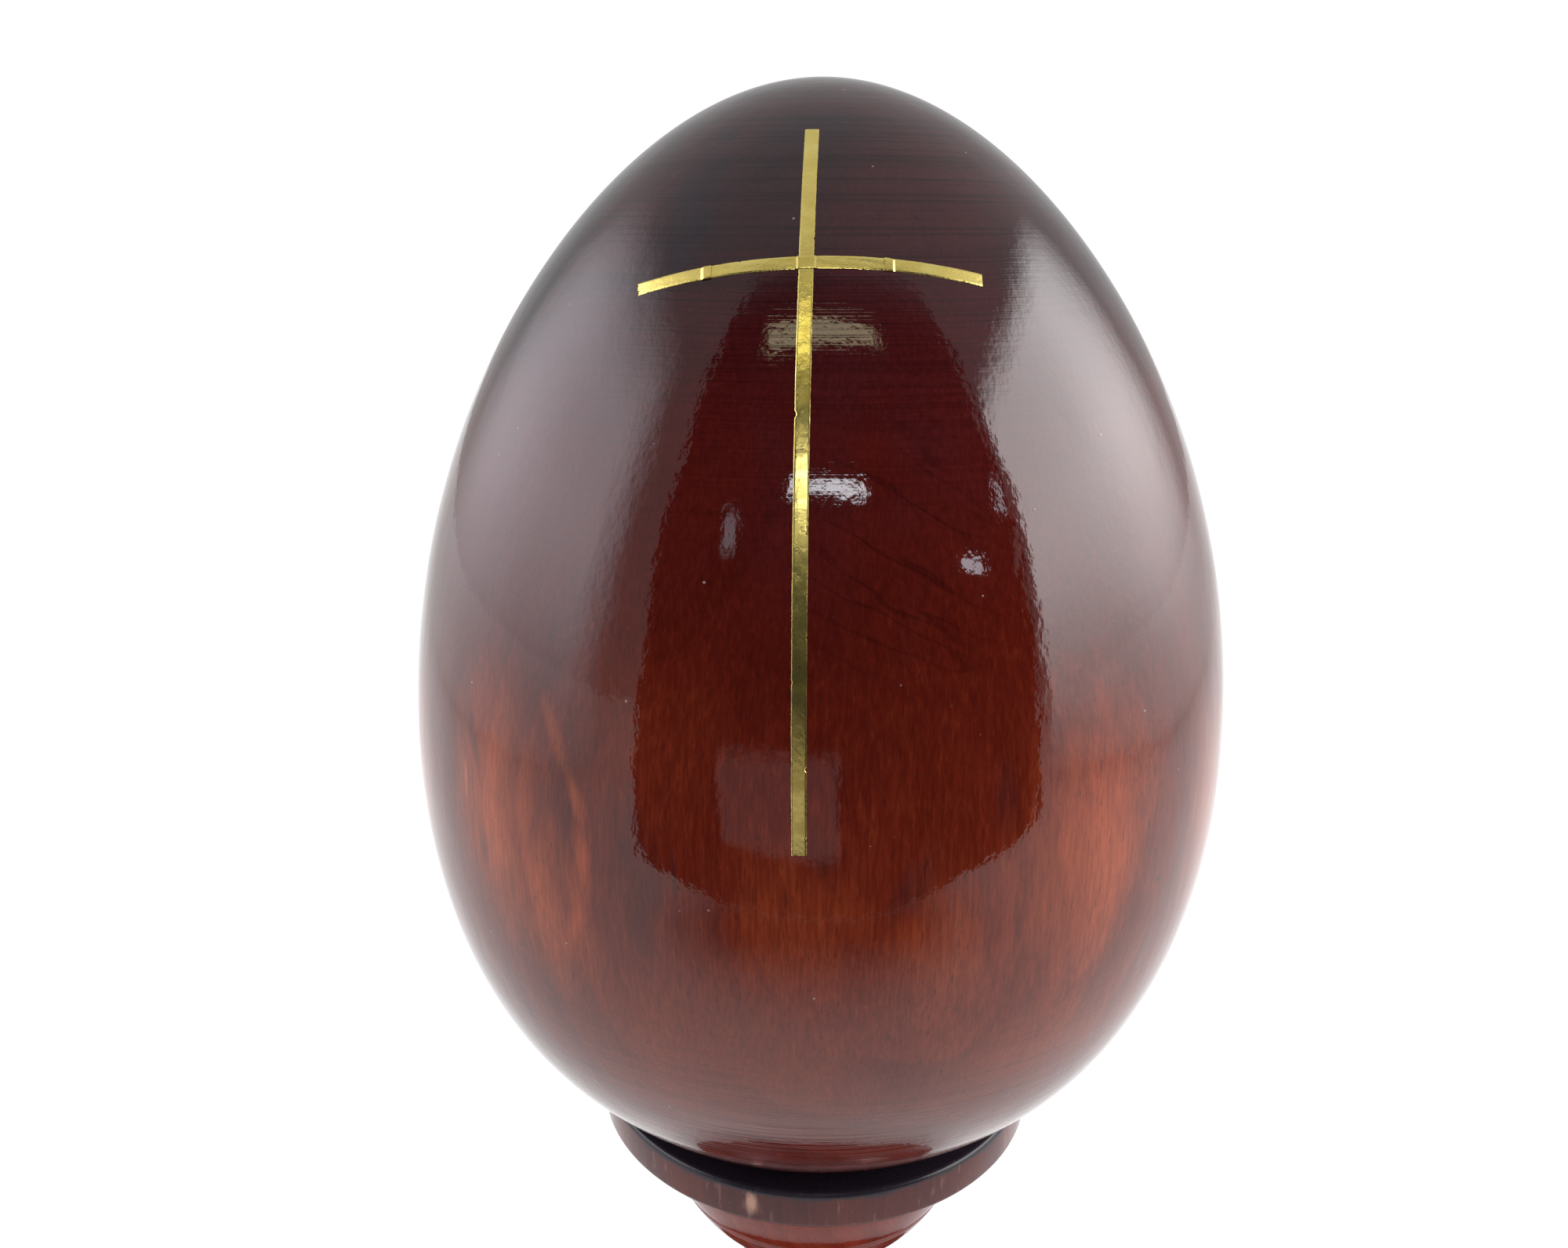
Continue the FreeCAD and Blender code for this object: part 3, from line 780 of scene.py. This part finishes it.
colour = tinted(tree, step(tree, figure["Fibres"], 0.4, 0.62), 0.6, colour, (0.6, 0.5, 0.5), "MULTIPLY")
colour = tinted(tree, figure["Pores"], 0.8, colour, (0.02, 0.008, 0.008))
rubbed = step(tree, cloud(tree, place, (300, 300, 300), 4, 0.7), 0.56, 0.7)
low_edge = step(tree, split[2], 0.0005, 0.0016, 1.0, 0.0)
colour = over(tree, times(tree, rubbed, low_edge), colour, (0.30, 0.17, 0.11, 1))
surface = place_effect(tree, skin, Place=place, Waves=0.8, Peel=1.2, Dust=1.0)
colour = tinted(tree, surface["Specks"], 0.5, colour, (0.25, 0.18, 0.17))
tree.links.new(colour, shader.inputs["Base Color"])
tree.links.new(step(tree, rubbed, 0.0, 1.0, 0.09, 0.24), shader.inputs["Roughness"])
shader.inputs["IOR"].default_value = lacquer_gloss
raise_surface(tree, shader, surface["Height"], lacquer_depth)
foot.data.materials.append(foot_wood)
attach(foot, "stand")
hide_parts("stand_foot")

# --- Floor and light -------------------------------------------------------
# A white table in a white light tent: a bright panel on the right, a softer one
# on the left, and the tent's dark open front, which the egg's lacquer mirrors.
table_radius = 6.0
table_drop = 0.0002
table_corners = 96
ring = np.linspace(0, 2 * np.pi, table_corners, endpoint=False)
rim = np.column_stack([table_radius * np.sin(ring), -table_radius * np.cos(ring),
                       np.full(table_corners, -table_drop)])
table = solid("white_table", rim, [list(range(table_corners))])
white, tree, shader, place = finish_of("white_table_paper")
fleece = cloud(tree, place, (900, 900, 900), 3, 0.6)
colour = over(tree, fleece, (0.25, 0.25, 0.25, 1), (0.29, 0.29, 0.29, 1))
tree.links.new(colour, shader.inputs["Base Color"])
shader.inputs["Roughness"].default_value = 0.9
shader.inputs["Emission Strength"].default_value = 0.82
split = parts_of(tree, place)
# The table's glow is dimmed in a ring round the foot: a painted contact shadow.
shade = step(tree, how_far(tree, split[0], split[1]), foot_radius - 0.006, foot_radius + 0.020)
glow = over(tree, shade, (0.30, 0.30, 0.31, 1), (1.0, 1.0, 1.0, 1))
tree.links.new(glow, shader.inputs["Emission Color"])
table.data.materials.append(white)
eye_height = egg_base + egg_height / 2


def card(name, corners, colour, strength, fades, seen_by_diffuse=True):
    """A flat glowing card that the camera looks through. Each fade (axis, from, to) is a smooth
    step along X, Y or Z, and where it falls to nothing the card is clear."""
    made = solid(name, corners, [[0, 1, 2, 3]])
    material = bpy.data.materials.new(name)
    material.use_nodes = True
    tree = material.node_tree
    tree.nodes.clear()
    place = add(tree, "ShaderNodeTexCoord").outputs["Object"]
    split = parts_of(tree, place)
    mask = times(tree, *[
        step(tree, split[axis], min(start, end), max(start, end), float(start > end), float(start < end))
        for axis, start, end in fades])
    clear = add(tree, "ShaderNodeBsdfTransparent")
    light = add(tree, "ShaderNodeEmission", {"Color": (*colour, 1), "Strength": strength})
    mixed = add(tree, "ShaderNodeMixShader", {0: mask, 1: clear.outputs[0], 2: light.outputs[0]})
    add(tree, "ShaderNodeOutputMaterial", {0: mixed.outputs[0]})
    made.data.materials.append(material)
    made.visible_camera = False
    made.visible_shadow = False
    made.visible_diffuse = seen_by_diffuse


def upright_card(name, x0, x1, y0, y1, low, high, *rest, **more):
    """A card standing on the line (x0, y0) to (x1, y1), its heights counted from the egg's middle."""
    bottom, top = eye_height + low, eye_height + high
    card(name, [(x0, y0, bottom), (x1, y1, bottom), (x1, y1, top), (x0, y0, top)], *rest, **more)


side = 0.65
ground = -eye_height
upright_card("left_panel", -side, -side, -0.52, 0.90, ground, 0.95, (0.95, 0.93, 1.0), 4.1,
             [(1, -0.50, -0.26), (1, 0.75, 0.05), (2, eye_height + 0.90, eye_height + 0.42),
              (2, eye_height - 0.22, eye_height + 0.26)])
upright_card("right_panel", side, side, 0.80, -0.41, ground, 0.72, (1.0, 0.975, 0.985), 7.4,
             [(1, -0.405, -0.375), (1, 0.66, 0.06), (2, eye_height + 0.70, eye_height + 0.54),
              (2, eye_height - 0.20, eye_height + 0.28)])
front = -0.30
upright_card("dark_opening", -0.285, 0.43, front, front, ground + 0.001, 1.30, (0.03, 0.03, 0.034), 1.0,
             [(2, eye_height + 1.30, eye_height + 0.52)], seen_by_diffuse=False)
# A dark card lying on the front of the table, seen only in reflections and fading towards the stand: a
# painted shadow across the table's front.
near_table = [(-0.22, -0.299, 0.001), (0.24, -0.299, 0.001), (0.24, -0.13, 0.001), (-0.22, -0.13, 0.001)]
card("painted_table_shadow", near_table, (0.05, 0.05, 0.055), 1.0,
     [(1, -0.14, -0.27), (0, -0.22, -0.08), (0, 0.24, 0.10)], seen_by_diffuse=False)
# Each glint's sides, its bottom and top from the egg's middle, colour, strength and two fades.
glints = [
    ("ceiling_lamp", -0.150, 0.160, 0.452, 0.548, (1.0, 0.96, 0.60), 4.4, 0.030, 0.030),
    ("window_glint", -0.050, 0.072, 0.189, 0.215, (0.92, 0.94, 1.0), 16.0, 0.010, 0.010),
    ("right_glint", 0.365, 0.405, 0.215, 0.285, (0.86, 0.90, 1.0), 6.0, 0.016, 0.024),
    ("middle_glint", 0.222, 0.290, 0.134, 0.156, (0.86, 0.90, 1.0), 8.0, 0.016, 0.006),
    ("left_glint", -0.146, -0.118, 0.130, 0.190, (0.86, 0.90, 1.0), 2.4, 0.012, 0.022),
    ("pale_screen", -0.122, 0.030, -0.112, -0.014, (1.0, 0.93, 0.97), 0.50, 0.006, 0.020),
]
for name, x0, x1, low, high, colour, strength, side_fade, level_fade in glints:
    bottom, top = eye_height + low, eye_height + high
    fades = [(0, x0, x0 + side_fade), (0, x1, x1 - side_fade),
             (2, bottom, bottom + level_fade), (2, top, top - level_fade)]
    upright_card(name, x0, x1, front + 0.003, front + 0.003, low, high, colour, strength, fades, False)

# The tent itself, which looks brighter than the light it gives.
world = bpy.data.worlds.new("tent_light")
bpy.context.scene.world = world
world.use_nodes = True
tent = world.node_tree
behind = add(tent, "ShaderNodeLightPath").outputs["Is Camera Ray"]
tent.links.new(step(tent, behind, 0.0, 1.0, 0.62, 1.05), tent.nodes["Background"].inputs[1])
tent.nodes["Background"].inputs[0].default_value = (1.0, 1.0, 1.0, 1)

# The camera stands close to the egg, a little above its middle, and looks down on it.
camera_data = bpy.data.cameras.new("camera")
camera_data.lens = 28.8
camera_data.sensor_width = 36
camera_data.clip_start = 0.005
camera = bpy.data.objects.new("camera", camera_data)
bpy.context.scene.collection.objects.link(camera)
eye_back, eye_rise = 0.18544, 0.0596
pitch, yaw = math.radians(17.26), math.radians(1.62)
ahead = np.array([-math.sin(yaw) * math.cos(pitch), math.cos(yaw) * math.cos(pitch), -math.sin(pitch)])
right = np.array([math.cos(yaw), math.sin(yaw), 0.0])
above = np.cross(right, ahead)
turned_to = Matrix([[right[i], above[i], -ahead[i]] for i in range(3)])
camera.location = (0, -eye_back, eye_height + eye_rise)
camera.rotation_euler = turned_to.to_euler()
bpy.context.scene.camera = camera
bpy.context.scene.view_settings.view_transform = "Standard"
